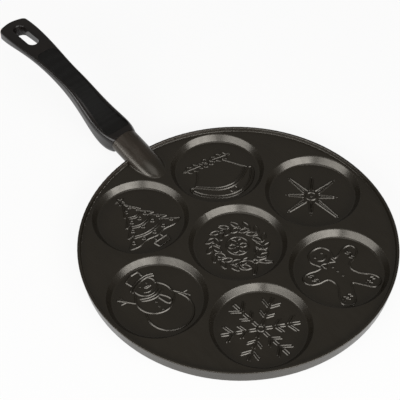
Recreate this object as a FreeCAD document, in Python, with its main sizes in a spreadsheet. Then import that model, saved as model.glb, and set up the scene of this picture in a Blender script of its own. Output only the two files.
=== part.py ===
import FreeCAD, Part
import math
import os

import Sketcher
from FreeCAD import Placement, Rotation, Vector

# Pancake pan: a cast aluminium griddle plate with seven round wells and a moulded grip.
# Millimetres. +X runs along the grip, +Z is up, the origin is the middle of the base on the table.

doc = FreeCAD.newDocument("pancake_pan")

SIZES = [
    # plate and rim
    ("rim_diameter", 266.0),
    ("outer_wall_lean", 2.0),
    ("rim_rise", 3.0),
    ("rim_land", 2.2),
    ("rim_wall_lean", 1.2),
    ("rim_edge_radius", 0.7),
    ("rim_root_radius", 0.8),
    ("plate_thickness", 3.5),
    ("skirt_thickness", 3.5),
    ("foot_edge_radius", 1.2),
    # wells
    ("well_gap", 4.0),
    ("rim_gap", 3.05),
    ("well_depth", 6.0),
    ("well_wall_lean", 4.5),
    ("well_lip_radius", 1.0),
    ("well_floor_radius", 2.2),
    ("well_base_thickness", 4.0),
    ("well_wall_thickness", 3.3),
    ("cup_edge_radius", 2.0),
    # boss that carries the grip
    ("boss_reach", 17.0),
    ("boss_tilt", 11.0),
    ("boss_axis_height", 14.6),
    ("boss_half_width", 13.0),
    ("boss_half_height", 9.6),
    ("boss_length", 31.0),
    ("boss_stub", 2.0),
    ("nose_length", 25.0),
    ("boss_underside", 4.0),
    ("boss_blend", 1.5),
    ("boss_root_radius", 3.0),
    # tongue inside the grip
    ("tongue_width", 16.0),
    ("tongue_height", 7.0),
    ("tongue_length", 34.0),
    ("tongue_base_height", 11.5),
    ("tongue_overlap", 8.0),
    ("tongue_corner", 1.5),
    ("socket_clearance", 0.3),
    ("joint_gap", 0.1),
    # screw and washers
    ("screw_setback", 18.0),
    ("screw_diameter", 5.0),
    ("screw_length", 12.0),
    ("screw_tip_chamfer", 0.5),
    ("head_diameter", 9.5),
    ("head_height", 3.7),
    ("head_dome_radius", 2.0),
    ("drive_width", 1.3),
    ("drive_span", 5.4),
    ("drive_depth", 2.2),
    ("thread_clearance", 0.05),
    ("screw_clearance", 0.3),
    ("seat_thickness", 3.0),
    ("counterbore_clearance", 0.5),
    ("washer_diameter", 10.0),
    ("washer_thickness", 1.0),
    ("spring_washer_diameter", 9.2),
    ("spring_washer_thickness", 1.2),
    ("spring_washer_gap", 0.8),
    ("spring_washer_slant", 25.0),
    ("washer_bore_clearance", 0.15),
    ("stack_gap", 0.05),
    # grip
    ("collar_lead", 2.2),
    ("station_lead", 12.0),
    ("station_pitch", 24.0),
    ("grip_length", 171.0),
    ("tail_corner", 8.0),
    ("tail_spread", 12.0),
    ("tail_bow", 3.4),
    ("tail_apex", 1.1),
    ("tail_bow_radius", 26.0),
    ("grip_end_radius", 2.0),
    ("slot_length", 32.8),
    ("slot_margin", 9.6),
    ("slot_slope", 15.0),
    ("slot_width", 11.0),
    ("slot_edge", 1.5),
    # sunk thumb panel on the grip
    ("panel_lead", 5.0),
    ("panel_margin", 13.5),
    ("panel_start_corner", 5.0),
    ("panel_end_corner", 7.0),
]

# Sizes that follow from those above. The middle well, an outer well and their gaps fill the radius
# inside the rim, which makes one and a half wells; the grip starts beyond the rim and carries the rest.
FOLLOWING = [
    ("well_diameter", "(rim_diameter / 2 - rim_land - rim_gap - well_gap) / 1.5"),
    ("well_pitch", "well_diameter + well_gap"),
    ("boss_base", "rim_diameter / 2 + boss_reach"),
    ("grip_start", "boss_base + boss_stub * cos(boss_tilt * 1 deg)"),
    ("joint_height", "boss_axis_height + boss_stub * sin(boss_tilt * 1 deg)"),
    ("grip_end", "grip_start + grip_length"),
    ("station_start", "grip_start + station_lead"),
    ("slot_end", "grip_end - slot_margin"),
    ("slot_start", "slot_end - slot_length"),
    ("panel_start", "grip_start + panel_lead"),
    ("panel_end", "slot_start - panel_margin"),
]

# Grip stations, evenly spaced along X. Each line: name, half width, top, underside, top corner,
# lower corner, half width of the thumb panel, depth of the thumb panel
STATIONS = [
    ("collar", 12.3, 23.9, 5.3, 8.5, 8.5, 12.3, 2.4),
    ("shoulder", 15.1, 23.7, 2.2, 5.0, 8.0, 12.3, 2.0),
    ("neck", 13.9, 28.5, 9.5, 5.5, 7.5, 8.9, 1.2),
    ("throat", 11.5, 36.5, 20.4, 3.5, 6.3, 8.2, 0.6),
    ("waist", 11.3, 40.3, 29.1, 2.5, 5.3, 9.2, 0.5),
    ("palm", 12.8, 43.2, 34.3, 2.5, 5.2, 10.3, 0.5),
    ("flare", 14.7, 44.8, 35.8, 2.5, 4.6, 11.7, 0.5),
    ("heel", 15.6, 44.8, 33.8, 2.5, 3.8, 13.0, 0.5),
    ("tail", 12.4, 44.0, 33.0, 2.5, 4.4, 13.5, 0.5),
]
STATION_SIZES = (
    "half_width", "top", "underside", "top_corner", "lower_corner", "panel_half_width", "panel_depth",
)

sheet = doc.addObject("Spreadsheet::Sheet", "Sizes")
rows = list(SIZES)
for station in STATIONS:
    rows += [(station[0] + "_" + word, number) for word, number in zip(STATION_SIZES, station[1:])]
rows += [(alias, "=" + formula) for alias, formula in FOLLOWING]
for row, (alias, number) in enumerate(rows, start=1):
    sheet.set("A%d" % row, alias)
    sheet.set("B%d" % row, str(number))
    sheet.setAlias("B%d" % row, alias)
doc.recompute()


def sized(text):
    """Expression text in which every word in < > is a driving dimension."""
    return text.replace("<", "Sizes.").replace(">", "")


def value(text):
    number = sheet.evalExpression(sized(text).replace("Sizes.", ""))
    return float(getattr(number, "Value", number))


# Heights and radii that follow from the driving dimensions
GRIDDLE = "(<well_base_thickness> + <well_depth>)"
RIM = "(" + GRIDDLE + " + <rim_rise>)"
PLATE_UNDER = "(" + GRIDDLE + " - <plate_thickness>)"
RIM_RADIUS = "(<rim_diameter> / 2)"
FOOT_RADIUS = "(" + RIM_RADIUS + " - <outer_wall_lean>)"
RIM_INNER = "(" + RIM_RADIUS + " - <rim_land>)"
WELL_RADIUS = "(<well_diameter> / 2)"
WELL_SLOPE = "(<well_wall_lean> / <well_depth>)"
FLOOR_RADIUS = "(" + WELL_RADIUS + " - <well_wall_lean>)"
CUP_SIDE = "(<well_wall_thickness> * sqrt(1 + " + WELL_SLOPE + " ^ 2))"


def wall_radius(height):
    """Radius of the leaning outer wall at a height."""
    return "(" + FOOT_RADIUS + " + <outer_wall_lean> * (" + height + ") / " + RIM + ")"


def bind(thing, prop, text):
    thing.setExpression(prop, sized(text))


def body_plane(body, role):
    for feature in body.Origin.OriginFeatures:
        if feature.Role == role:
            return feature
    raise ValueError(role)


def attach(thing, body, role, shift=None, turn=None):
    """Puts a sketch or a primitive on a plane of its body, moved and turned in that plane's own axes."""
    thing.AttachmentSupport = [(body_plane(body, role), "")]
    thing.MapMode = "FlatFace"
    if turn:
        thing.AttachmentOffset = Placement(Vector(), Rotation(Vector(1, 0, 0), value(turn)))
        bind(thing, ".AttachmentOffset.Rotation.Angle", turn)
    for axis, text in (shift or {}).items():
        bind(thing, ".AttachmentOffset.Base." + axis, text)
    doc.recompute()


def sketch_on(body, name, role, shift=None, turn=None):
    sketch = body.newObject("Sketcher::SketchObject", name)
    attach(sketch, body, role, shift, turn)
    return sketch


def pin(sketch, geometry, point, x_text, y_text):
    for kind, text in (("DistanceX", x_text), ("DistanceY", y_text)):
        index = sketch.addConstraint(Sketcher.Constraint(kind, -1, 1, geometry, point, value(text)))
        bind(sketch, "Constraints[%d]" % index, text)


def outline(sketch, corners):
    """Closed outline through corners (x, y) or (x, y, radius), every number bound to the sheet."""
    count = len(corners)
    spots = [Vector(value(c[0]), value(c[1]), 0) for c in corners]
    radii = [value(c[2]) if len(c) > 2 else 0.0 for c in corners]
    entry = []
    leave = []
    middle = []
    for i in range(count):
        back = (spots[i - 1] - spots[i]).normalize()
        ahead = (spots[(i + 1) % count] - spots[i]).normalize()
        half = back.getAngle(ahead) / 2
        run = radii[i] / math.tan(half)
        entry.append(spots[i] + back * run)
        leave.append(spots[i] + ahead * run)
        bisector = (back + ahead).normalize()
        middle.append(spots[i] + bisector * (radii[i] / math.sin(half) - radii[i]))
    lines = [
        sketch.addGeometry(Part.LineSegment(leave[i], entry[(i + 1) % count]), False)
        for i in range(count)
    ]
    for i in range(count):
        before = lines[i - 1]
        after = lines[i]
        if not radii[i]:
            sketch.addConstraint(Sketcher.Constraint("Coincident", before, 2, after, 1))
            pin(sketch, after, 1, corners[i][0], corners[i][1])
            continue
        arc = sketch.addGeometry(Part.Arc(entry[i], middle[i], leave[i]), False)
        first = 1 if sketch.getPoint(arc, 1).distanceToPoint(entry[i]) < 1e-6 else 2
        sketch.addConstraint(Sketcher.Constraint("Tangent", before, 2, arc, first))
        sketch.addConstraint(Sketcher.Constraint("Tangent", arc, 3 - first, after, 1))
        index = sketch.addConstraint(Sketcher.Constraint("Radius", arc, radii[i]))
        bind(sketch, "Constraints[%d]" % index, corners[i][2])
        corner = sketch.addGeometry(Part.Point(spots[i]), True)
        sketch.addConstraint(Sketcher.Constraint("PointOnObject", corner, 1, before))
        sketch.addConstraint(Sketcher.Constraint("PointOnObject", corner, 1, after))
        pin(sketch, corner, 1, corners[i][0], corners[i][1])


def circle(sketch, radius_text, x_text="0", y_text="0"):
    ring = sketch.addGeometry(Part.Circle(Vector(), Vector(0, 0, 1), value(radius_text)), False)
    pin(sketch, ring, 3, x_text, y_text)
    index = sketch.addConstraint(Sketcher.Constraint("Radius", ring, value(radius_text)))
    bind(sketch, "Constraints[%d]" % index, radius_text)


def feature(body, kind, name, sketch, **settings):
    made = body.newObject("PartDesign::" + kind, name)
    made.Profile = sketch
    for prop, setting in settings.items():
        if isinstance(setting, str) and "<" in setting:
            bind(made, prop, setting)
        else:
            setattr(made, prop, setting)
    sketch.Visibility = False
    doc.recompute()
    return made


def rounded(body, name, base, edges, radius_text):
    made = body.newObject("PartDesign::Fillet", name)
    made.Base = (base, edges)
    bind(made, "Radius", radius_text)
    doc.recompute()
    return made


def edges_where(shape, test):
    return ["Edge%d" % (i + 1) for i, edge in enumerate(shape.Edges) if test(edge)]


def ring_of_six(body, name, original):
    made = body.newObject("PartDesign::PolarPattern", name)
    made.Originals = [original]
    made.Axis = (body_plane(body, "Z_Axis"), [""])
    made.Angle = 360
    made.Occurrences = 6
    body.Tip = made
    doc.recompute()
    return made


def ellipse(sketch, half_width_text, half_height_text):
    """Two half ellipses that meet on the vertical axis, so the side faces carry no seam."""
    wide = value(half_width_text)
    tall = value(half_height_text)
    whole = Part.Ellipse(Vector(wide, 0, 0), Vector(0, tall, 0), Vector())
    for start in (-math.pi / 2, math.pi / 2):
        half = sketch.addGeometry(Part.ArcOfEllipse(whole, start, start + math.pi), False)
        sketch.exposeInternalGeometry(half)
        sketch.addConstraint(Sketcher.Constraint("Coincident", half, 3, -1, 1))
        sketch.addConstraint(Sketcher.Constraint("PointOnObject", half, 1, -2))
        sketch.addConstraint(Sketcher.Constraint("PointOnObject", half, 2, -2))
        sketch.addConstraint(Sketcher.Constraint("Horizontal", half + 1))
        for axis, text in ((half + 1, half_width_text), (half + 2, half_height_text)):
            index = sketch.addConstraint(Sketcher.Constraint("Distance", axis, 2 * value(text)))
            bind(sketch, "Constraints[%d]" % index, "2 * (" + text + ")")


def obround(sketch, start_text, end_text, width_text):
    """A straight slot along X with round ends."""
    half = value(width_text) / 2
    ends = (value(start_text) + half, value(end_text) - half)
    up = Vector(0, 0, 1)
    near = sketch.addGeometry(
        Part.ArcOfCircle(Part.Circle(Vector(ends[0], 0, 0), up, half), math.pi / 2, 3 * math.pi / 2), False)
    far = sketch.addGeometry(
        Part.ArcOfCircle(Part.Circle(Vector(ends[1], 0, 0), up, half), -math.pi / 2, math.pi / 2), False)
    low = sketch.addGeometry(Part.LineSegment(Vector(ends[0], -half, 0), Vector(ends[1], -half, 0)), False)
    high = sketch.addGeometry(Part.LineSegment(Vector(ends[1], half, 0), Vector(ends[0], half, 0)), False)
    for first, first_end, second, second_end in (
        (near, 2, low, 1), (low, 2, far, 1), (far, 2, high, 1), (high, 2, near, 1),
    ):
        sketch.addConstraint(Sketcher.Constraint("Tangent", first, first_end, second, second_end))
    sketch.addConstraint(Sketcher.Constraint("Equal", near, far))
    index = sketch.addConstraint(Sketcher.Constraint("Radius", near, half))
    bind(sketch, "Constraints[%d]" % index, "(" + width_text + ") / 2")
    pin(sketch, near, 3, "(" + start_text + ") + (" + width_text + ") / 2", "0")
    pin(sketch, far, 3, "(" + end_text + ") - (" + width_text + ") / 2", "0")


def box_outline(sketch, low_x, high_x, low_y, high_y, corner=None):
    tail = (corner,) if corner else ()
    outline(sketch, [(x, y) + tail for x, y in (
        (low_x, low_y), (high_x, low_y), (high_x, high_y), (low_x, high_y),
    )])


def make_body(name, **place):
    body = doc.addObject("PartDesign::Body", name)
    body.Label = name
    for axis, text in place.items():
        bind(body, ".Placement.Base." + axis, text)
    doc.recompute()
    return body


# The casting: boss and tongue first, then the plate, its rim and the wells
pan = make_body("pan_casting")

BOSS_TURN = "-<boss_tilt>"
BOSS_BASE = {"y": "<boss_axis_height>", "z": "<boss_base>"}
boss_section = sketch_on(pan, "boss_section", "YZ_Plane", BOSS_BASE, BOSS_TURN)
ellipse(boss_section, "<boss_half_width>", "<boss_half_height>")
feature(pan, "Pad", "boss", boss_section, Length="<boss_length>", Reversed=True)

nose = pan.newObject("PartDesign::AdditiveEllipsoid", "boss_nose")
attach(nose, pan, "YZ_Plane", {
    "y": "<boss_axis_height> - <boss_length> * sin(<boss_tilt> * 1 deg)",
    "z": "<boss_base> - <boss_length> * cos(<boss_tilt> * 1 deg)",
}, BOSS_TURN)
for prop, text in (
    ("Radius1", "<nose_length>"), ("Radius2", "<boss_half_width>"), ("Radius3", "<boss_half_height>"),
):
    bind(nose, prop, text)
nose.Angle2 = 0
doc.recompute()

# Outside the wall the boss has a flat underside; inside it, only what stands in the plate is kept
under_cut = sketch_on(pan, "boss_underside_cut", "XZ_Plane")
PLATE_MIDDLE = "(" + GRIDDLE + " - <plate_thickness> / 2)"
WALL_MIDDLE = "(" + FOOT_RADIUS + " - <skirt_thickness> / 2)"
outline(under_cut, [
    ("<rim_diameter> / 4", "-<rim_diameter> / 4"),
    ("<boss_base> + <boss_length>", "-<rim_diameter> / 4"),
    ("<boss_base> + <boss_length>", "<boss_underside>"),
    (WALL_MIDDLE, "<boss_underside>"),
    (WALL_MIDDLE, PLATE_MIDDLE),
    ("<rim_diameter> / 4", PLATE_MIDDLE),
])
feature(pan, "Pocket", "boss_underside", under_cut, Type="Length", Length="2 * <rim_diameter>", Midplane=True)

tongue_section = sketch_on(pan, "tongue_section", "YZ_Plane", {"z": "<boss_base> - <tongue_overlap>"})
box_outline(tongue_section, "-<tongue_width> / 2", "<tongue_width> / 2", "<tongue_base_height>",
            "<tongue_base_height> + <tongue_height>", "<tongue_corner>")
feature(pan, "Pad", "tongue", tongue_section, Length="<tongue_length> + <tongue_overlap>")

thread_hole = sketch_on(pan, "thread_hole", "XY_Plane", {"x": "<boss_base> + <screw_setback>"})
circle(thread_hole, "<screw_diameter> / 2 + <thread_clearance>")
feature(pan, "Pocket", "tongue_thread", thread_hole, Type="Length", Length="<rim_diameter>", Midplane=True)

def on_griddle(edge):
    """Edges where the boss leaves the flat griddle face."""
    box = edge.BoundBox
    middle = edge.CenterOfMass
    flat = abs(box.ZMin - griddle) < 1e-3 and abs(box.ZMax - griddle) < 1e-3
    inside = math.hypot(middle.x, middle.y) < value(RIM_FOOT)
    return flat and inside and not isinstance(edge.Curve, Part.Circle)


def on_wall(edge):
    """Edges where the flanks of the boss leave the outer wall."""
    middle = edge.CenterOfMass
    side = underside + 0.5 < middle.z < griddle - 0.3
    return side and math.hypot(middle.x, middle.y) > value(FOOT_RADIUS) and middle.x < value("<boss_base>") - 5


griddle = value(GRIDDLE)
underside = value("<boss_underside>")

# The griddle disc ends at the foot of the rim, so that the blend round the boss is finished before the
# skirt and the rim close over its ends
RIM_FOOT = RIM_INNER + " - <rim_wall_lean>"
DISC_RADIUS = "(" + RIM_FOOT + " - 2 * <rim_root_radius>)"
disc_section = sketch_on(pan, "disc_section", "XZ_Plane")
box_outline(disc_section, "0", DISC_RADIUS, PLATE_UNDER, GRIDDLE)
feature(pan, "Revolution", "griddle_disc", disc_section, ReferenceAxis=(disc_section, ["V_Axis"]), Angle=360)
rounded(pan, "boss_griddle_blend", pan.Tip, edges_where(pan.Tip.Shape, on_griddle), "<boss_blend>")

skirt_section = sketch_on(pan, "skirt_section", "XZ_Plane")
outline(skirt_section, [
    (DISC_RADIUS, PLATE_UNDER),
    (wall_radius(PLATE_UNDER) + " - <skirt_thickness>", PLATE_UNDER),
    (FOOT_RADIUS + " - <skirt_thickness>", "0"),
    (FOOT_RADIUS, "0", "<foot_edge_radius>"),
    (wall_radius(GRIDDLE), GRIDDLE),
    (DISC_RADIUS, GRIDDLE),
])
feature(pan, "Revolution", "skirt", skirt_section, ReferenceAxis=(skirt_section, ["V_Axis"]), Angle=360)
rounded(pan, "boss_wall_blend", pan.Tip, edges_where(pan.Tip.Shape, on_wall), "<boss_root_radius>")

RIM_BASE = "(" + GRIDDLE + " - <rim_root_radius>)"
rim_section = sketch_on(pan, "rim_section", "XZ_Plane")
outline(rim_section, [
    (DISC_RADIUS, RIM_BASE),
    (wall_radius(RIM_BASE), RIM_BASE),
    (RIM_RADIUS, RIM, "<rim_edge_radius>"),
    (RIM_INNER, RIM, "<rim_edge_radius>"),
    (RIM_FOOT, GRIDDLE, "<rim_root_radius>"),
    (DISC_RADIUS, GRIDDLE),
])
feature(pan, "Revolution", "rim", rim_section, ReferenceAxis=(rim_section, ["V_Axis"]), Angle=360)

CUP_PROFILE = [
    ("0", "0"),
    (FLOOR_RADIUS + " + " + CUP_SIDE + " - " + WELL_SLOPE + " * <well_base_thickness>", "0",
     "<cup_edge_radius>"),
    (WELL_RADIUS + " + " + CUP_SIDE + " - " + WELL_SLOPE + " * <plate_thickness>", PLATE_UNDER),
    (WELL_RADIUS + " + " + CUP_SIDE + " - " + WELL_SLOPE + " * <plate_thickness>",
     PLATE_MIDDLE),
    ("0", PLATE_MIDDLE),
]
WELL_PROFILE = [
    ("0", "<well_base_thickness>"),
    (FLOOR_RADIUS, "<well_base_thickness>", "<well_floor_radius>"),
    (WELL_RADIUS, GRIDDLE, "<well_lip_radius>"),
    (WELL_RADIUS + " + <well_lip_radius>", GRIDDLE),
    (WELL_RADIUS + " + <well_lip_radius>", RIM + " + <well_depth> + <boss_half_height>"),
    ("0", RIM + " + <well_depth> + <boss_half_height>"),
]
FIRST_WELL = {"x": "<well_pitch> * cos(30 deg)", "z": "-<well_pitch> * sin(30 deg)"}


def wells(kind, name, profile):
    """The middle well and the ring of six around it, each a turned shape."""
    middle = sketch_on(pan, name + "_middle_section", "XZ_Plane")
    outline(middle, profile)
    feature(pan, kind, name + "_middle", middle, ReferenceAxis=(middle, ["V_Axis"]), Angle=360)
    outer = sketch_on(pan, name + "_outer_section", "XZ_Plane", FIRST_WELL)
    outline(outer, profile)
    turned = feature(pan, kind, name + "_outer", outer, ReferenceAxis=(outer, ["V_Axis"]), Angle=360)
    return ring_of_six(pan, name + "_ring", turned)


wells("Revolution", "cup", CUP_PROFILE)
wells("Groove", "well", WELL_PROFILE)

# A short stub carries the boss on to the joint with the grip
stub_section = sketch_on(pan, "stub_section", "YZ_Plane", BOSS_BASE, BOSS_TURN)
ellipse(stub_section, "<boss_half_width>", "<boss_half_height>")
feature(pan, "Pad", "boss_stub_end", stub_section, Length="<boss_stub>")

# The grip is lofted through the stations and then cut to length
grip = make_body("handle_grip")


def station_place(step):
    """The collar stands just before the joint, the other stations follow evenly from the shoulder on."""
    if step == 0:
        return "<grip_start> - <collar_lead>"
    return "<station_start> + %d * <station_pitch>" % (step - 1)


sections = []
for step, (name, *_) in enumerate(STATIONS):
    section = sketch_on(grip, name + "_section", "YZ_Plane", {"z": station_place(step)})
    wide = "<%s_half_width>" % name
    top = "<%s_top>" % name
    under = "<%s_underside>" % name
    outline(section, [
        ("-" + wide, under, "<%s_lower_corner>" % name),
        (wide, under, "<%s_lower_corner>" % name),
        (wide, top, "<%s_top_corner>" % name),
        ("-" + wide, top, "<%s_top_corner>" % name),
    ])
    sections.append(section)
feature(grip, "AdditiveLoft", "grip_form", sections[0], Sections=sections[1:], Ruled=False)
for section in sections:
    section.Visibility = False

BIG = "<rim_diameter>"
GRIP_FRONT = {"y": "<joint_height>", "z": "<grip_start> + <joint_gap>"}
front_cut = sketch_on(grip, "front_cut", "YZ_Plane", GRIP_FRONT, BOSS_TURN)
box_outline(front_cut, "-" + BIG, BIG, "-" + BIG, BIG)
feature(grip, "Pocket", "grip_front", front_cut, Type="Length", Length=BIG)

# The tail is trimmed along a shallow bow with rounded corners; the sides of the cut spread clear of the grip
TAIL_HALF = "<heel_half_width>"
TAIL_CORNER = "<grip_end> - <tail_bow>"
tail_cut = sketch_on(grip, "tail_cut", "XY_Plane")
box_outline(tail_cut, "<grip_start> / 2", "<grip_end> + " + BIG, "-" + BIG, BIG)
outline(tail_cut, [
    ("<grip_start> - <tail_spread>", "-(" + TAIL_HALF + " + <tail_spread>)"),
    (TAIL_CORNER, "-" + TAIL_HALF, "<tail_corner>"),
    ("<grip_end> + <tail_apex>", "0", "<tail_bow_radius>"),
    (TAIL_CORNER, TAIL_HALF, "<tail_corner>"),
    ("<grip_start> - <tail_spread>", TAIL_HALF + " + <tail_spread>"),
])
feature(grip, "Pocket", "grip_tail", tail_cut, Type="Length", Length=BIG, Midplane=True)

# The far end of the hanging slot slopes, so its lower mouth is the shorter one
slot_mouths = []
for mouth, level in (
    ("upper", "<heel_top> + 2 * <slot_edge>"), ("lower", "<heel_underside> - 2 * <slot_edge>"),
):
    slot_mouth = sketch_on(grip, mouth + "_slot_mouth", "XY_Plane", {"z": level})
    end = "<slot_end> - (<heel_top> - (" + level + ")) * tan(<slot_slope> * 1 deg)"
    obround(slot_mouth, "<slot_start>", end, "<slot_width>")
    slot_mouths.append(slot_mouth)
feature(grip, "SubtractiveLoft", "hanging_slot", slot_mouths[0], Sections=slot_mouths[1:], Ruled=True)
for slot_mouth in slot_mouths:
    slot_mouth.Visibility = False


def on_tail(edge):
    """Edges round the end of the tail and round both mouths of the hanging slot."""
    middle = edge.CenterOfMass
    box = edge.BoundBox
    upright = box.ZLength > box.XLength + box.YLength
    return middle.x > tail_turn and not upright


def on_slot(edge):
    middle = edge.CenterOfMass
    box = edge.BoundBox
    level = box.ZLength < (box.XLength + box.YLength) / 2
    return level and slot_first < middle.x < slot_last and abs(middle.y) < slot_half


EDGE_REACH = 0.01
slot_first = value("<slot_start>") - EDGE_REACH
slot_last = value("<slot_end>") + EDGE_REACH
slot_half = value("<slot_width>") / 2 + EDGE_REACH
rounded(grip, "slot_rounding", grip.Tip, edges_where(grip.Tip.Shape, on_slot), "<slot_edge>")
tail_turn = value("<grip_end> - <tail_bow> - <tail_corner>")
rounded(grip, "tail_rounding", grip.Tip, edges_where(grip.Tip.Shape, on_tail), "<grip_end_radius>")

SOCKET_FLOOR = "(<tongue_base_height> - <socket_clearance>)"
SOCKET_DEPTH = "(<tongue_length> + <socket_clearance>)"
socket_section = sketch_on(grip, "socket_section", "YZ_Plane", {"z": "<boss_base> + " + SOCKET_DEPTH})
box_outline(
    socket_section,
    "-(<tongue_width> / 2 + <socket_clearance>)", "<tongue_width> / 2 + <socket_clearance>",
    SOCKET_FLOOR, "<tongue_base_height> + <tongue_height> + <socket_clearance>", "<tongue_corner>",
)
feature(grip, "Pocket", "tongue_socket", socket_section, Type="Length", Length=SOCKET_DEPTH + " * 2")

SEAT = "(" + SOCKET_FLOOR + " - <seat_thickness>)"
SCREW_AXIS = {"x": "<boss_base> + <screw_setback>"}
bore = sketch_on(grip, "screw_bore", "XY_Plane", dict(SCREW_AXIS, z=SOCKET_FLOOR + " + <socket_clearance>"))
circle(bore, "<screw_diameter> / 2 + <screw_clearance>")
feature(grip, "Pocket", "screw_passage", bore, Type="Length", Length=BIG)
counterbore = sketch_on(grip, "counterbore", "XY_Plane", dict(SCREW_AXIS, z=SEAT))
circle(counterbore, "<washer_diameter> / 2 + <counterbore_clearance>")
feature(grip, "Pocket", "screw_counterbore", counterbore, Type="Length", Length=BIG)

# The sunk thumb panel follows the top of the grip between two rounded ends
panel = make_body("panel_form")
panel_sections = []
for step, (name, *_) in enumerate(STATIONS):
    section = sketch_on(panel, name + "_panel_section", "YZ_Plane", {"z": station_place(step)})
    half = "<%s_panel_half_width>" % name
    floor = "<%s_top> - <%s_panel_depth>" % (name, name)
    box_outline(section, "-" + half, half, floor, floor + " + <slot_width>")
    panel_sections.append(section)
feature(panel, "AdditiveLoft", "panel_loft", panel_sections[0], Sections=panel_sections[1:], Ruled=False)
for section in panel_sections:
    section.Visibility = False
panel_ends = sketch_on(panel, "panel_ends", "XY_Plane")
box_outline(panel_ends, "0", "<grip_end> + " + BIG, "-" + BIG, BIG)
box_outline(panel_ends, "<panel_start>", "<panel_end>", "-" + BIG + " / 2", BIG + " / 2")
feature(panel, "Pocket", "panel_length", panel_ends, Type="Length", Length=BIG, Midplane=True)


def upright_at(place):
    """Edges that stand upright at one end of the panel."""
    def test(edge):
        box = edge.BoundBox
        return abs(box.XMin - place) < 0.01 and abs(box.XMax - place) < 0.01 and box.ZLength > box.YLength
    return test


for end in ("panel_start", "panel_end"):
    chosen = edges_where(panel.Tip.Shape, upright_at(value("<%s>" % end)))
    rounded(panel, end + "_corners", panel.Tip, chosen, "<%s_corner>" % end)

recess = grip.newObject("PartDesign::Boolean", "panel_recess")
recess.setObjects([panel])
recess.Type = "Cut"
doc.recompute()

# Screw and washers, stacked below the seat under the grip
STACK_TOP = "(" + SEAT + " - <stack_gap>)"
WASHER_UNDER = "(" + STACK_TOP + " - <washer_thickness>)"
SPRING_UNDER = "(" + WASHER_UNDER + " - <stack_gap> - <spring_washer_thickness>)"
HEAD_UNDER = "(" + SPRING_UNDER + " - <stack_gap> - <head_height>)"
SCREW_X = "<boss_base> + <screw_setback>"

screw = make_body("handle_screw", x=SCREW_X, z=HEAD_UNDER)
screw_section = sketch_on(screw, "screw_section", "XZ_Plane")
outline(screw_section, [
    ("0", "0"),
    ("<head_diameter> / 2", "0", "<head_dome_radius>"),
    ("<head_diameter> / 2", "<head_height>"),
    ("<screw_diameter> / 2", "<head_height>"),
    ("<screw_diameter> / 2", "<head_height> + <screw_length> - <screw_tip_chamfer>"),
    ("<screw_diameter> / 2 - <screw_tip_chamfer>", "<head_height> + <screw_length>"),
    ("0", "<head_height> + <screw_length>"),
])
feature(screw, "Revolution", "screw_form", screw_section, ReferenceAxis=(screw_section, ["V_Axis"]), Angle=360)
cross = sketch_on(screw, "cross_recess", "XY_Plane")
arm = "<drive_width> / 2"
tip = "<drive_span> / 2"
outline(cross, [
    (tip, "-" + arm), (tip, arm), (arm, arm), (arm, tip), ("-" + arm, tip), ("-" + arm, arm),
    ("-" + tip, arm), ("-" + tip, "-" + arm), ("-" + arm, "-" + arm), ("-" + arm, "-" + tip),
    (arm, "-" + tip), (arm, "-" + arm),
])
feature(screw, "Pocket", "screw_drive", cross, Type="Length", Length="<drive_depth>", Reversed=True)


def washer_body(name, under, diameter, thickness):
    body = make_body(name, x=SCREW_X, z=under)
    ring = sketch_on(body, name + "_outline", "XY_Plane")
    circle(ring, diameter + " / 2")
    circle(ring, "<screw_diameter> / 2 + <washer_bore_clearance>")
    feature(body, "Pad", name + "_form", ring, Length=thickness)
    return body


flat_washer = washer_body("flat_washer", WASHER_UNDER, "<washer_diameter>", "<washer_thickness>")
spring_washer = washer_body(
    "spring_washer", SPRING_UNDER, "<spring_washer_diameter>", "<spring_washer_thickness>")
split = sketch_on(spring_washer, "split", "XY_Plane", None, "<spring_washer_slant>")
box_outline(split, "<screw_diameter> / 4", "<spring_washer_diameter>", "-<spring_washer_gap> / 2",
            "<spring_washer_gap> / 2")
feature(spring_washer, "Pocket", "spring_washer_split", split, Type="Length", Midplane=True,
        Length="4 * <spring_washer_diameter>")

# Every shape is looked over before its file is written
for thing in doc.Objects:
    if "Invalid" in thing.State or "Error" in thing.State:
        raise RuntimeError("%s did not build" % thing.Label)

os.makedirs("parts", exist_ok=True)
for body in (pan, grip, screw, flat_washer, spring_washer):
    shape = body.Shape
    if shape.isNull() or not shape.isValid() or len(shape.Solids) != 1:
        raise RuntimeError("%s is not one sound solid" % body.Label)
    shape.exportStep("parts/%s.step" % body.Label)
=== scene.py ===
import math

import bpy
import numpy as np
from mathutils import Matrix, Vector


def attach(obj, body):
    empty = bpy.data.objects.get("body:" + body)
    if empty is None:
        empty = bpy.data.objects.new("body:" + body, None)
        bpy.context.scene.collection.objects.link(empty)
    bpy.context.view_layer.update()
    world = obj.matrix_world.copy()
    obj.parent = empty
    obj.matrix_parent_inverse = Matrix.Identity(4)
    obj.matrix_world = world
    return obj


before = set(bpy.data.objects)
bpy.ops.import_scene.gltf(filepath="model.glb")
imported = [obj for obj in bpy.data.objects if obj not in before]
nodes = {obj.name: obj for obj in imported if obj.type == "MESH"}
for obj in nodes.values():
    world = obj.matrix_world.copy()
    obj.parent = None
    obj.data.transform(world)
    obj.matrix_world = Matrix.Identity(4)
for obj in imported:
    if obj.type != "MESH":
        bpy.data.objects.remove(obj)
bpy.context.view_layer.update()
print("frame loaded:", ", ".join(sorted(nodes)))

scene = bpy.context.scene
scene.view_settings.view_transform = "Standard"


# Camera: the photograph's viewpoint. The target lies on the rim plane, 13.3 mm above the table.
cameraView = {
    "focalPixels": 1183.509, "imagePixels": 400, "turn": 229.697, "height": 47.905, "roll": -0.751,
    "distance": 1.007394, "target": (0.052505, -0.004492, 0.0133), "halfPixel": 0.5,
}


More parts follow.
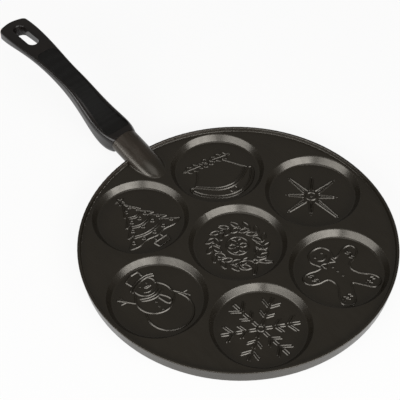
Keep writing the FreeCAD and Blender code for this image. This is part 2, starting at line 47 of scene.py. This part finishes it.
def placeCamera(view):
    turn, height, roll = (math.radians(view[word]) for word in ("turn", "height", "roll"))
    back = np.array([math.sin(turn) * math.cos(height), -math.cos(turn) * math.cos(height), math.sin(height)])
    right = np.array([math.cos(turn), math.sin(turn), 0.0])
    up = np.cross(back, right)
    spin = np.array([[math.cos(roll), math.sin(roll), 0], [-math.sin(roll), math.cos(roll), 0], [0, 0, 1]])
    axes = spin @ np.array([right, up, back])
    spot = np.array(view["target"]) + back * view["distance"]
    lens = bpy.data.cameras.new("photoCamera")
    lens.sensor_width = 36.0
    lens.lens = view["focalPixels"] * lens.sensor_width / view["imagePixels"]
    lens.shift_x = -view["halfPixel"] / view["imagePixels"]
    lens.shift_y = view["halfPixel"] / view["imagePixels"]
    lens.clip_start = 0.01
    holder = bpy.data.objects.new("photoCamera", lens)
    scene.collection.objects.link(holder)
    place = Matrix([list(row) for row in axes.T]).to_4x4()
    place.translation = Vector(spot)
    holder.matrix_world = place
    scene.camera = holder
    return back


towardCamera = placeCamera(cameraView)
print("camera placed")


# Plain soft studio light. Turn is counted to the right of the camera, height above the table.
lights = {
    "window": {"size": (2.0, 0.56), "turn": 36, "height": 27, "distance": 1.6, "radiance": 6.4},
    "side": {"size": (2.2, 0.56), "turn": -48, "height": 26, "distance": 1.6, "radiance": 4.3},
    "overhead": {"size": (1.2, 1.2), "turn": 0, "height": 80, "distance": 1.8, "radiance": 1.0},
}
worldLight = {"strength": 0.21, "colour": (1.0, 0.97, 0.92, 1.0)}


def addLight(name, size, turn, height, distance, radiance):
    lamp = bpy.data.lights.new(name, "AREA")
    lamp.shape = "RECTANGLE"
    lamp.size, lamp.size_y = size
    lamp.energy = radiance * math.pi * size[0] * size[1]
    holder = bpy.data.objects.new(name, lamp)
    scene.collection.objects.link(holder)
    heading = math.atan2(towardCamera[1], towardCamera[0]) + math.radians(turn)
    lift = math.radians(height)
    way = Vector((math.cos(heading) * math.cos(lift), math.sin(heading) * math.cos(lift), math.sin(lift)))
    holder.location = way * distance
    holder.rotation_euler = way.to_track_quat("Z", "Y").to_euler()


for name, facts in lights.items():
    addLight(name, **facts)


def nodeTree(owner):
    owner.use_nodes = True
    tree = owner.node_tree
    tree.nodes.clear()
    return tree, tree.nodes.new, tree.links.new


def lightWorld(facts):
    world = bpy.data.worlds.new("studio")
    scene.world = world
    tree, add, link = nodeTree(world)
    sky = add("ShaderNodeBackground")
    sky.inputs["Color"].default_value = facts["colour"]
    sky.inputs["Strength"].default_value = facts["strength"]
    link(sky.outputs[0], add("ShaderNodeOutputWorld").inputs["Surface"])


lightWorld(worldLight)
print("lights placed")


# A pale table. The camera, and what mirrors or sees through to it, gets most of its white from the paper's
# own glow; the rest is lit, and keeps the pan's shadow.
floorFacts = {"reach": 4.0, "colour": (0.9, 0.9, 0.895, 1.0), "roughness": 0.8, "glow": 0.9}


def makeFloor(facts):
    reach = facts["reach"]
    mesh = bpy.data.meshes.new("studioFloor")
    mesh.from_pydata([(-reach, -reach, 0), (reach, -reach, 0), (reach, reach, 0), (-reach, reach, 0)], [],
                     [(0, 1, 2, 3)])
    floor = bpy.data.objects.new("studioFloor", mesh)
    scene.collection.objects.link(floor)
    paper = bpy.data.materials.new("palePaper")
    tree, add, link = nodeTree(paper)
    shade = add("ShaderNodeBsdfPrincipled")
    shade.inputs["Base Color"].default_value = facts["colour"]
    shade.inputs["Roughness"].default_value = facts["roughness"]
    glow = add("ShaderNodeEmission")
    rays = add("ShaderNodeLightPath")
    seen = add("ShaderNodeMath")
    seen.operation = "MAXIMUM"
    link(rays.outputs["Is Camera Ray"], seen.inputs[0])
    link(rays.outputs["Is Glossy Ray"], seen.inputs[1])
    through = add("ShaderNodeMath")
    through.operation = "MAXIMUM"
    link(seen.outputs[0], through.inputs[0])
    link(rays.outputs["Is Transmission Ray"], through.inputs[1])
    part = add("ShaderNodeMath")
    part.operation = "MULTIPLY"
    part.inputs[1].default_value = facts["glow"]
    link(through.outputs[0], part.inputs[0])
    blend = add("ShaderNodeMixShader")
    link(part.outputs[0], blend.inputs["Fac"])
    link(shade.outputs[0], blend.inputs[1])
    link(glow.outputs[0], blend.inputs[2])
    link(blend.outputs[0], add("ShaderNodeOutputMaterial").inputs["Surface"])
    mesh.materials.append(paper)


makeFloor(floorFacts)


# The raised line pictures on the floors of the wells. A picture is drawn in millimetres on its own
# well, u to the right and v up, where up is the way of the grip.
beadFacts = {"width": 1.9, "height": 0.9, "sink": 0.15, "step": 0.6, "taper": 0.9}
wellFacts = {"ring": 86.5, "floor": 4.0, "firstTurn": 30}

# Half of a bead's section from its foot to its crest, in half widths and heights: straight flanks, round crest
beadSide = np.array([(1.0, 0.0), (0.94, 0.03), (0.88, 0.09), (0.34, 0.80), (0.22, 0.92), (0.0, 1.0)])


def joined(points, closed=False, smooth=True):
    # Points every step mm along straight runs, or along a curve that passes through the corners
    corners = np.asarray(points, float)
    if smooth:
        ring = np.vstack([corners[-1:], corners, corners[:2]]) if closed else \
            np.vstack([2 * corners[0] - corners[1], corners, 2 * corners[-1] - corners[-2]])
        t = np.linspace(0, 1, 24, endpoint=False)[None, :, None]
        a, b, c, d = (ring[k:len(ring) - 3 + k, None, :] for k in range(4))
        fine = 0.5 * (2 * b + (c - a) * t + (2 * a - 5 * b + 4 * c - d) * t ** 2
                      + (3 * b - a - 3 * c + d) * t ** 3)
        corners = fine.reshape(-1, 2) if closed else np.vstack([fine.reshape(-1, 2), corners[-1:]])
    if closed:
        corners = np.vstack([corners, corners[:1]])
    along = np.r_[0, np.cumsum(np.linalg.norm(np.diff(corners, axis=0), axis=1))]
    count = max(3, int(round(along[-1] / beadFacts["step"])))
    places = np.linspace(0, along[-1], count + 1)
    path = np.stack([np.interp(places, along, corners[:, k]) for k in range(2)], axis=1)
    return path[:-1] if closed else path


def arc(middle, radius, start, end, count=24):
    turn = np.radians(np.linspace(start, end, count))
    return np.stack([middle[0] + radius * np.cos(turn), middle[1] + radius * np.sin(turn)], axis=1)


def turned(points, angle, middle=(0, 0)):
    c, s = math.cos(math.radians(angle)), math.sin(math.radians(angle))
    return np.asarray(points, float) @ np.array([[c, s], [-s, c]]) + middle


def bead(path, closed, thin):
    # Point j of the section is set out sideways from path point i and raised over the well's floor. Near an
    # open end the section shrinks, and a flat face closes it. Faces look outward.
    ahead = np.roll(path, -1, axis=0) - np.roll(path, 1, axis=0)
    if not closed:
        ahead[0], ahead[-1] = path[1] - path[0], path[-1] - path[-2]
    ahead /= np.linalg.norm(ahead, axis=1)[:, None]
    side = np.stack([-ahead[:, 1], ahead[:, 0]], axis=1)
    rows = len(path)
    size = np.full(rows, float(thin))
    if not closed:
        gone = np.minimum(np.arange(rows), np.arange(rows)[::-1]) * beadFacts["step"]
        size *= np.clip(0.3 + 0.7 * gone / beadFacts["taper"], 0, 1)
    across = np.r_[-beadSide[:, 0], beadSide[-2::-1, 0]]
    rise = np.r_[beadSide[:, 1], beadSide[-2::-1, 1]]
    across, rise = np.r_[-0.94, across, 0.94], np.r_[-1, rise, -1]
    columns = len(across)
    flat = path[:, None, :] + side[:, None, :] * (across * beadFacts["width"] / 2)[None, :, None] * size[:, None, None]
    high = np.where(rise < 0, -beadFacts["sink"], rise * beadFacts["height"] * size[:, None])
    verts = np.concatenate([flat, high[:, :, None]], axis=2).reshape(-1, 3)
    i = np.arange(rows if closed else rows - 1)[:, None]
    j = np.arange(columns)[None, :]
    here, there, after = i * columns, (i + 1) % rows * columns, (j + 1) % columns
    quads = np.stack([here + j, there + j, there + after, here + after], axis=2).reshape(-1, 4)
    ends = [] if closed else [list(range(columns)), list(range(rows * columns - 1, (rows - 1) * columns - 1, -1))]
    return verts, quads, ends


def dome(middle, radius):
    # A button: rings of radius r * sin a at height h * cos a, from the foot up to a small flat top
    a = np.radians(np.array([90, 90, 68, 46, 24]))
    turn = np.radians(np.arange(0, 360, 20))
    high = beadFacts["height"] * np.cos(a)
    high[0] = -beadFacts["sink"]
    ring = radius * np.sin(a)[:, None]
    verts = np.stack([middle[0] + ring * np.cos(turn), middle[1] + ring * np.sin(turn),
                      np.repeat(high[:, None], len(turn), axis=1)], axis=2).reshape(-1, 3)
    columns = len(turn)
    i, j = np.arange(len(a) - 1)[:, None] * columns, np.arange(columns)[None, :]
    after = (j + 1) % columns
    quads = np.stack([i + j, i + after, i + columns + after, i + columns + j], axis=2).reshape(-1, 4)
    top = list(range((len(a) - 1) * columns, len(a) * columns))
    return verts, quads, [top, list(range(columns))[::-1]]


def line(picture, points, closed=False, smooth=True, thin=1.0):
    picture.append(bead(joined(points, closed, smooth), closed, thin))


def both(picture, points, **how):
    line(picture, points, **how)
    line(picture, np.asarray(points, float) * (-1, 1), **how)


def ring(picture, middle, radius):
    line(picture, arc(middle, radius, 0, 360, 13)[:-1], closed=True, thin=0.8)


def dot(picture, middle, radius):
    picture.append(dome(middle, radius))


def treePicture(p):
    half = [(0, 24.5), (8.8, 11), (4.6, 12.2), (15, 0.5), (8.5, 1.8), (21, -9.5), (13, -8.6), (28, -19.5)]
    both(p, half, smooth=False)
    line(p, [(-28, -19.5), (-19, -21.4), (-9, -20), (0, -21.6), (9, -20), (19, -21.4), (28, -19.5)])
    both(p, [(0, 23), (6.2, 12.6)], smooth=False, thin=0.8)
    for drop in (0, 2.2):
        line(p, [(-6.5, 10 - drop), (0, 7.5 - drop), (6.5, 9.5 - drop)], thin=0.8)
        line(p, [(-11.5, 0.5 - drop), (-4, -2.6 - drop), (4, -2.2 - drop), (11.5, 1 - drop)], thin=0.8)
        line(p, [(-17, -9.5 - drop), (-6, -13 - drop), (6, -12.6 - drop), (17, -9 - drop)], thin=0.8)
    for spot in ((-3.5, 15.5), (2.4, 18), (-7, 3.4), (1, 2.6), (8, 4.4), (-12.5, -5), (-2.5, -6.4), (7.5, -6.4),
                 (15, -4.6), (-20, -15.6), (-10, -17), (1, -17.4), (11, -16.8), (21, -15.4)):
        ring(p, spot, 1.5)
    both(p, [(3, -21.5), (3.4, -26.5)], smooth=False)
    line(p, [(-7, -26.5), (-5.6, -32.5), (5.6, -32.5), (7, -26.5)], closed=True, smooth=False)
    star = [turned((0, 4.6 if k % 2 == 0 else 1.9), 36 * k, (0, 28.4)) for k in range(10)]
    line(p, star, closed=True, smooth=False, thin=0.8)


def snowmanPicture(p):
    line(p, arc((1, -14.5), 19, 147, 392, 40))
    line(p, arc((0, 3.6), 15.6, 128, 412, 40))
    line(p, arc((1.5, 17.5), 9.6, 150, 400, 30))
    line(p, [(-11, 18.5), (-5, 21.8), (2, 24), (9, 24), (14.5, 21.6)])
    line(p, [(-11.5, 20.8), (-5, 24.2), (2, 26.2), (9, 26.2), (15, 23.8)])
    line(p, [(-6.5, 24), (-8, 31), (-1, 33.6), (6.6, 33.4), (6.4, 27)], smooth=False)
    for drop in (0, 2.6):
        line(p, [(-10.5, 10.4 - drop), (-4, 7 - drop), (3, 6 - drop), (10.5, 8.4 - drop)])
    line(p, [(4.5, 5), (8.6, -2), (9, -7), (5, -7.4), (2.6, 2.6)])
    line(p, [(-14.4, 8), (-19, 14), (-25, 21.6)])
    line(p, [(-19.5, 14.6), (-25.4, 15.6)], thin=0.8)
    line(p, [(-21, 16.4), (-20.6, 22.6)], thin=0.8)
    line(p, [(15, 1), (19.6, -6.5), (23.6, -13.5)])
    line(p, [(20, -7), (25.4, -7.4)], thin=0.8)
    line(p, [(22, -10.6), (20.4, -17)], thin=0.8)
    for spot in ((-2, 19.6), (4.6, 19.8), (-1.6, -0.5), (-2.6, -5.4), (-2, -9.6)):
        dot(p, spot, 1.2)
    line(p, [(0.4, 17.6), (6.4, 15.6), (0.8, 15.6)], closed=True, smooth=False, thin=0.8)
    line(p, [(-3.6, 13.4), (0.6, 11.4), (5.8, 12.6)], thin=0.8)


def snowflakePicture(p):
    for turn in range(0, 360, 60):
        for side in (-1, 1):
            line(p, turned([(side * 1.1, 3.4), (side * 1.1, 9.8)], turn), smooth=False, thin=0.85)
            line(p, turned([(side * 1.1, 14.4), (side * 1.1, 20.2)], turn), smooth=False, thin=0.85)
            line(p, turned([(side * 1.1, 25), (side * 1.1, 32.6)], turn), smooth=False, thin=0.85)
            for foot, reach in ((11.2, 7.6), (21.4, 9.4)):
                for gap in (0, 2.3):
                    line(p, turned([(side * 0.6, foot + gap), (side * (0.6 + reach * 0.78), foot + gap + reach * 0.62)],
                                  turn), smooth=False, thin=0.85)
    ring(p, (0, 0), 2.6)


def gingerbreadPicture(p):
    half = [(7, 28), (10.2, 21.5), (8, 15), (7.6, 12.4), (13, 12.6), (20, 15), (26.4, 14.2), (28.4, 9.6),
            (26, 4.8), (20, 1.8), (12.6, 0), (10.4, -6), (13, -13), (18.6, -19.5), (20.6, -26), (16.8, -30.4),
            (10.6, -29.6), (5.6, -22.5)]
    line(p, [(0, 30)] + half + [(0, -15.4)] + [(-u, v) for u, v in half[::-1]], closed=True)
    for gap in (0, 2.4):
        both(p, [(19 + gap, 2.5), (17.8 + gap, 5.2), (20 + gap, 7.4), (18.2 + gap, 10), (20 + gap, 13.2)], thin=0.8)
        both(p, [(8.5, -23 - gap), (11, -21 - gap), (12.8, -23.4 - gap), (15, -20.6 - gap), (18, -22.4 - gap)],
               thin=0.8)
    both(p, [(0.8, 12.2), (5.4, 15), (5.6, 9.2)], closed=True, smooth=False, thin=0.8)
    dot(p, (0, 12.2), 1.3)
    for spot in ((-4, 23.4), (3.6, 23.4), (0, 6.6), (0, 1), (0, -5)):
        dot(p, spot, 1.4)
    line(p, [(-5, 19.6), (-2, 17.4), (2, 17.4), (5, 19.6)])


def starPicture(p):
    middle = np.array((-1.5, -0.5))
    for turn, reach, half in ((0, 28, 2.2), (45, 20, 1.9), (90, 27, 2.2), (135, 20, 1.9), (180, 32, 2.3),
                              (225, 20, 1.9), (270, 27, 2.2), (315, 21, 1.9)):
        for side in (-1, 1):
            line(p, turned([(side * half, 6.2), (side * 0.75, reach)], turn, middle), smooth=False)
        line(p, turned([(0, 8.4), (0, reach * 0.72)], turn, middle), smooth=False, thin=0.6)
        line(p, turned([(0, reach * 0.86 + 4), (0, reach * 0.86 + 5.6)], turn, middle), smooth=False, thin=0.6)
    line(p, arc(middle, 4.4, 0, 360, 25)[:-1], closed=True)
    dot(p, middle, 1.6)


def bellPicture(p):
    line(p, [(-33, -3.6), (-29.4, -13), (-21.6, -22.8), (-10.4, -30), (2, -32.2), (14, -29.2), (23.6, -21.8),
            (27.6, -14.6)])
    line(p, [(-30.2, -3.4), (-26.6, -12), (-19.4, -20.6), (-9.6, -27.2), (2, -29.4), (13, -26.6), (21.6, -20),
            (25, -14.6)])
    line(p, [(-33, -3.6), (-30.6, -0.6), (-26, -3.6), (-19.6, -10.6), (-13.6, -16.6), (-6.4, -20.4), (2, -21.8),
            (10.6, -20), (17.6, -16.8), (23.4, -14), (27.6, -14.6)])
    line(p, [(-26, -1), (-19, -8.2), (-12.6, -14), (-5.6, -17.6), (2, -19), (10, -17.4), (16.6, -14.4),
            (22, -11.4)])
    line(p, [(-27.4, -2), (-21.6, 2.2), (-16.6, 7.4), (-13, 12.6)])
    line(p, [(24.4, -13), (20.6, -6.4), (17, 1), (13, 9)])
    line(p, arc((-2.4, -25), 3.4, 150, 400, 16))
    for sign, tilt, foot in ((-1, 12, (-3.6, 14.6)), (1, -16, (4, 15))):
        leaf = [(0, 0), (3, 3.2), (5.4, 1.9), (8.4, 4.8), (11.2, 2.2), (14.6, 4.2), (16.4, 1.2), (20.6, 0),
                (16.4, -1.4), (14.4, -4.4), (11.2, -2.4), (8.2, -5), (5.4, -2.2), (2.8, -3.4)]
        shape = np.asarray(leaf) * (sign, 1)
        line(p, turned(shape, sign * tilt, foot), closed=True, smooth=False, thin=0.85)
        line(p, turned(np.asarray([(2, 0), (17, 0)]) * (sign, 1), sign * tilt, foot), smooth=False, thin=0.7)
    for spot in ((0, 17.4), (-2.2, 12.6), (3.2, 11.8)):
        ring(p, spot, 2.1)


def wreathPicture(p):
    for k in range(15):
        turn = 24 * k + 12
        if 160 < turn < 200:
            continue
        for radius, lean, size in ((17.6, -52, 1.0), (23.4, 52, 0.94)):
            leaf = np.asarray([(0, -4.8), (2, -1.4), (1.6, 2.2), (0, 5), (-1.6, 2.2), (-2, -1.4)]) * size
            spot = turned((0, radius), turn)
            line(p, turned(leaf, turn + lean, spot), closed=True, thin=0.8)
    for k in range(8):
        if k != 4:
            ring(p, turned((0, 20.4), 45 * k), 1.5)
    both(p, [(1.6, -21), (6.6, -15.4), (13, -15), (14.4, -20.6), (9.6, -24.6), (4, -23.4)], closed=True)
    both(p, [(1.4, -23.4), (4.6, -28.4), (10.4, -32), (6.4, -25.6)])
    line(p, [(-1.8, -20), (1.8, -20), (2, -23.8), (-2, -23.8)], closed=True, smooth=False)
    line(p, arc((0, 0), 9.6, 0, 360, 25)[:-1], closed=True, thin=0.8)
    for turn in range(0, 360, 60):
        line(p, turned([(-1.1, 1.6), (-2.2, 4.8), (0, 8), (2.2, 4.8), (1.1, 1.6)], turn), thin=0.8)
    dot(p, (0, 0), 1.5)


def makePicture(name, draw, place):
    strokes = []
    draw(strokes)
    starts = np.cumsum([0] + [len(verts) for verts, quads, ends in strokes])
    flat = np.vstack([verts for verts, quads, ends in strokes])
    verts = np.stack([place[0] + flat[:, 1], place[1] - flat[:, 0], wellFacts["floor"] + flat[:, 2]], axis=1) / 1000
    faces = np.vstack([quads + start for start, (_, quads, _) in zip(starts, strokes)]).tolist()
    faces += [[int(start) + corner for corner in end] for start, (_, _, ends) in zip(starts, strokes)
              for end in ends]
    mesh = bpy.data.meshes.new(name)
    mesh.from_pydata(verts.tolist(), [], faces)
    mesh.update()
    mesh.shade_smooth()
    piece = bpy.data.objects.new(name, mesh)
    scene.collection.objects.link(piece)
    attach(piece, "root")
    return piece


def outerPlace(step):
    turn = math.radians(wellFacts["firstTurn"] + 60 * step)
    return wellFacts["ring"] * math.cos(turn), wellFacts["ring"] * math.sin(turn)


pictures = [
    makePicture("reliefWreath", wreathPicture, (0, 0)),
    makePicture("reliefTree", treePicture, outerPlace(0)),
    makePicture("reliefSnowman", snowmanPicture, outerPlace(1)),
    makePicture("reliefSnowflake", snowflakePicture, outerPlace(2)),
    makePicture("reliefGingerbread", gingerbreadPicture, outerPlace(3)),
    makePicture("reliefStar", starPicture, outerPlace(4)),
    makePicture("reliefBell", bellPicture, outerPlace(5)),
]
print("pictures:", sum(len(o.data.polygons) for o in pictures), "faces")


# Small helpers for shader graphs: a source is another node's output or a plain number
def feed(tree, socket, source):
    if isinstance(source, (int, float)):
        socket.default_value = source
    else:
        tree.links.new(source, socket)


def sums(tree, operation, *sources):
    node = tree.nodes.new("ShaderNodeMath")
    node.operation = operation
    for k, source in enumerate(sources):
        feed(tree, node.inputs[k], source)
    return node.outputs[0]


def between(tree, value, low, high, start=0.0, end=1.0):
    node = tree.nodes.new("ShaderNodeMapRange")
    for word, source in (("Value", value), ("From Min", low), ("From Max", high), ("To Min", start), ("To Max", end)):
        feed(tree, node.inputs[word], source)
    return node.outputs["Result"]


def noise(tree, where, scale, detail=2.0, rough=0.5):
    node = tree.nodes.new("ShaderNodeTexNoise")
    node.inputs["Scale"].default_value = scale
    node.inputs["Detail"].default_value = detail
    node.inputs["Roughness"].default_value = rough
    tree.links.new(where, node.inputs["Vector"])
    return node.outputs["Fac"]


def stretched(tree, where, size):
    node = tree.nodes.new("ShaderNodeMapping")
    node.inputs["Scale"].default_value = size
    tree.links.new(where, node.inputs["Vector"])
    return node.outputs["Vector"]


def mixed(tree, part, a, b):
    node = tree.nodes.new("ShaderNodeMix")
    node.data_type = "RGBA"
    feed(tree, node.inputs["Factor"], part)
    for socket, source in ((node.inputs["A"], a), (node.inputs["B"], b)):
        if isinstance(source, tuple):
            socket.default_value = source
        else:
            tree.links.new(source, socket)
    return node.outputs["Result"]


def bumped(tree, height, strength, distance):
    node = tree.nodes.new("ShaderNodeBump")
    node.inputs["Strength"].default_value = strength
    node.inputs["Distance"].default_value = distance
    tree.links.new(height, node.inputs["Height"])
    return node.outputs["Normal"]


def newGroup(name, outputs):
    group = bpy.data.node_groups.new(name, "ShaderNodeTree")
    group.interface.new_socket("Vector", in_out="INPUT", socket_type="NodeSocketVector")
    for word in outputs:
        group.interface.new_socket(word, in_out="OUTPUT", socket_type="NodeSocketFloat")
    inside = group.nodes.new("NodeGroupInput")
    outside = group.nodes.new("NodeGroupOutput")
    return group, inside.outputs["Vector"], outside


def useGroup(tree, group, where):
    node = tree.nodes.new("ShaderNodeGroup")
    node.node_tree = group
    tree.links.new(where, node.inputs["Vector"])
    return node


def wearGroup():
    # Handling marks that every piece has: broad cloudy patches and fine smears, both from 0 to 1
    group, where, out = newGroup("handlingMarks", ("Patch", "Smear"))
    group.links.new(between(group, noise(group, where, 26.0, 3.0), 0.34, 0.66), out.inputs["Patch"])
    smear = noise(group, stretched(group, where, (60.0, 190.0, 120.0)), 1.0, 4.0, 0.6)
    group.links.new(between(group, smear, 0.38, 0.68), out.inputs["Smear"])
    return group


def grainGroup():
    # The skin of a sprayed casting: a fine peel with scattered deeper pinholes
    group, where, out = newGroup("castGrain", ("Height",))
    pit = group.nodes.new("ShaderNodeTexVoronoi")
    pit.inputs["Scale"].default_value = 1900.0
    group.links.new(where, pit.inputs["Vector"])
    deep = between(group, pit.outputs["Distance"], 0.0, 0.35)
    peel = noise(group, where, 4200.0, 2.0)
    both = sums(group, "ADD", sums(group, "MULTIPLY", peel, 0.7), sums(group, "MULTIPLY", deep, 0.3))
    group.links.new(both, out.inputs["Height"])
    return group


handlingMarks = wearGroup()
castGrain = grainGroup()

coatingLook = {
    "colour": (0.0080, 0.0062, 0.0038, 1), "warmer": (0.0110, 0.0086, 0.0055, 1),
    # The boss colour below is painted light: a lighter brown standing in for a reflection and streak highlights on the
    # boss
    "boss": (0.0210, 0.0135, 0.0095, 1), "roughness": (0.25, 0.32),
    "bossRoughness": (0.24, 0.44), "bossStart": 0.112, "bossHeight": 0.0106,
    "specular": 0.8, "specularTint": (1.0, 0.95, 0.86, 1), "grain": 0.10, "grainDepth": 0.00001,
}
gripLook = {
    "colour": (0.0070, 0.0058, 0.0052, 1), "warmer": (0.0100, 0.0078, 0.0068, 1), "roughness": (0.18, 0.27),
    "panel": (0.0006, 0.0005, 0.0004, 1), "panelRoughness": 0.40, "panelSpan": (0.15696, 0.26706),
    "panelCorner": 0.006, "specular": 0.46, "stippleScale": 760.0, "stippleDepth": 0.00035,
    "panelHalf": ((150, 12.3), (164, 12.3), (188, 8.9), (212, 8.2), (236, 9.2), (260, 10.3), (284, 11.7), (308, 13.0)),
}
steelLook = {
    "colour": (0.62, 0.61, 0.58, 1), "duller": (0.50, 0.49, 0.455, 1), "roughness": (0.28, 0.42),
    "spangle": 420.0, "brush": (900.0, 900.0, 60.0),
}


def startMaterial(name):
    paint = bpy.data.materials.new(name)
    tree, add, link = nodeTree(paint)
    shade = add("ShaderNodeBsdfPrincipled")
    link(shade.outputs[0], add("ShaderNodeOutputMaterial").inputs["Surface"])
    return paint, tree, shade, add("ShaderNodeTexCoord").outputs["Object"]


def coatingMaterial(look):
    paint, tree, shade, where = startMaterial("nonstickCoating")
    marks = useGroup(tree, handlingMarks, where)
    split = tree.nodes.new("ShaderNodeSeparateXYZ")
    tree.links.new(where, split.inputs[0])
    # On the boss the base colour is painted a lighter brown, streaked along the grip: a painted brown reflection with
    # painted streak highlights. The same streaks also vary the roughness there
    out = between(tree, split.outputs["X"], look["bossStart"], look["bossStart"] + 0.006)
    above = between(tree, split.outputs["Z"], look["bossHeight"], look["bossHeight"] + 0.0012)
    onBoss = sums(tree, "MULTIPLY", out, above)
    streak = noise(tree, stretched(tree, where, (18.0, 420.0, 420.0)), 1.0, 3.0)
    plain = mixed(tree, marks.outputs["Patch"], look["colour"], look["warmer"])
    paintedBossSheen = mixed(tree, streak, look["warmer"], look["boss"])
    tree.links.new(mixed(tree, onBoss, plain, paintedBossSheen), shade.inputs["Base Color"])
    rough = between(tree, marks.outputs["Smear"], 0.0, 1.0, *look["roughness"])
    brushed = between(tree, streak, 0.3, 0.7, *look["bossRoughness"])
    tree.links.new(between(tree, onBoss, 0.0, 1.0, rough, brushed), shade.inputs["Roughness"])
    shade.inputs["Specular IOR Level"].default_value = look["specular"]
    shade.inputs["Specular Tint"].default_value = look["specularTint"]
    grain = useGroup(tree, castGrain, where)
    tree.links.new(bumped(tree, grain.outputs["Height"], look["grain"], look["grainDepth"]), shade.inputs["Normal"])
    return paint


def panelMask(tree, where, look):
    # 1 on the thumb panel: inside a rounded box whose half width follows the grip, on faces that look up
    split = tree.nodes.new("ShaderNodeSeparateXYZ")
    tree.links.new(where, split.inputs[0])
    first, last = look["panelHalf"][0][0] / 1000, look["panelHalf"][-1][0] / 1000
    widths = tree.nodes.new("ShaderNodeFloatCurve")
    curve = widths.mapping.curves[0]
    spots = [((x / 1000 - first) / (last - first), half / 20) for x, half in look["panelHalf"]]
    for spot in spots[1:-1]:
        curve.points.new(*spot)
    curve.points[0].location, curve.points[-1].location = spots[0], spots[-1]
    widths.mapping.update()
    tree.links.new(between(tree, split.outputs["X"], first, last), widths.inputs["Value"])
    half = sums(tree, "MULTIPLY", widths.outputs["Value"], 0.02)
    corner = look["panelCorner"]
    middle, reach = sum(look["panelSpan"]) / 2, (look["panelSpan"][1] - look["panelSpan"][0]) / 2
    off = sums(tree, "SUBTRACT", sums(tree, "ABSOLUTE", sums(tree, "SUBTRACT", split.outputs["X"], middle)),
               reach - corner)
    wide = sums(tree, "SUBTRACT", sums(tree, "ABSOLUTE", split.outputs["Y"]), sums(tree, "SUBTRACT", half, corner))
    off, wide = sums(tree, "MAXIMUM", off, 0.0), sums(tree, "MAXIMUM", wide, 0.0)
    far = sums(tree, "SQRT", sums(tree, "ADD", sums(tree, "MULTIPLY", off, off), sums(tree, "MULTIPLY", wide, wide)))
    inside = between(tree, far, corner, corner + 0.0001, 1.0, 0.0)
    face = tree.nodes.new("ShaderNodeTexCoord")
    up = tree.nodes.new("ShaderNodeSeparateXYZ")
    tree.links.new(face.outputs["Normal"], up.inputs[0])
    return sums(tree, "MULTIPLY", inside, between(tree, up.outputs["Z"], 0.3, 0.4))


def gripMaterial(look):
    paint, tree, shade, where = startMaterial("gripPlastic")
    shade.inputs["Specular IOR Level"].default_value = look["specular"]
    marks = useGroup(tree, handlingMarks, where)
    panel = panelMask(tree, where, look)
    gloss = mixed(tree, marks.outputs["Patch"], look["colour"], look["warmer"])
    tree.links.new(mixed(tree, panel, gloss, look["panel"]), shade.inputs["Base Color"])
    shiny = between(tree, marks.outputs["Smear"], 0.0, 1.0, *look["roughness"])
    tree.links.new(between(tree, panel, 0.0, 1.0, shiny, look["panelRoughness"]), shade.inputs["Roughness"])
    # Rows of small round pips, lowered between them
    pip = tree.nodes.new("ShaderNodeTexVoronoi")
    pip.inputs["Scale"].default_value = look["stippleScale"]
    pip.inputs["Randomness"].default_value = 0.25
    tree.links.new(where, pip.inputs["Vector"])
    high = between(tree, pip.outputs["Distance"], 0.15, 0.5, 1.0, 0.0)
    tree.links.new(bumped(tree, sums(tree, "MULTIPLY", high, panel), 0.5, look["stippleDepth"]),
                   shade.inputs["Normal"])
    return paint


def steelMaterial(look):
    paint, tree, shade, where = startMaterial("zincSteel")
    marks = useGroup(tree, handlingMarks, where)
    flake = tree.nodes.new("ShaderNodeTexVoronoi")
    flake.inputs["Scale"].default_value = look["spangle"]
    tree.links.new(where, flake.inputs["Vector"])
    tone = tree.nodes.new("ShaderNodeSeparateColor")
    tree.links.new(flake.outputs["Color"], tone.inputs[0])
    part = sums(tree, "MULTIPLY", sums(tree, "ADD", tone.outputs[0], marks.outputs["Patch"]), 0.5)
    tree.links.new(mixed(tree, part, look["colour"], look["duller"]), shade.inputs["Base Color"])
    tree.links.new(between(tree, tone.outputs[1], 0.0, 1.0, *look["roughness"]), shade.inputs["Roughness"])
    shade.inputs["Metallic"].default_value = 1.0
    turned = noise(tree, stretched(tree, where, look["brush"]), 1.0, 2.0)
    tree.links.new(bumped(tree, turned, 0.15, 0.00004), shade.inputs["Normal"])
    return paint


def dress(name, paint):
    mesh = nodes[name].data
    mesh.materials.clear()
    mesh.materials.append(paint)


coating, plastic, steel = coatingMaterial(coatingLook), gripMaterial(gripLook), steelMaterial(steelLook)
dress("pan_casting", coating)
for piece in pictures:
    piece.data.materials.append(coating)
dress("handle_grip", plastic)
for name in ("handle_screw", "flat_washer", "spring_washer"):
    dress(name, steel)
print("materials made")
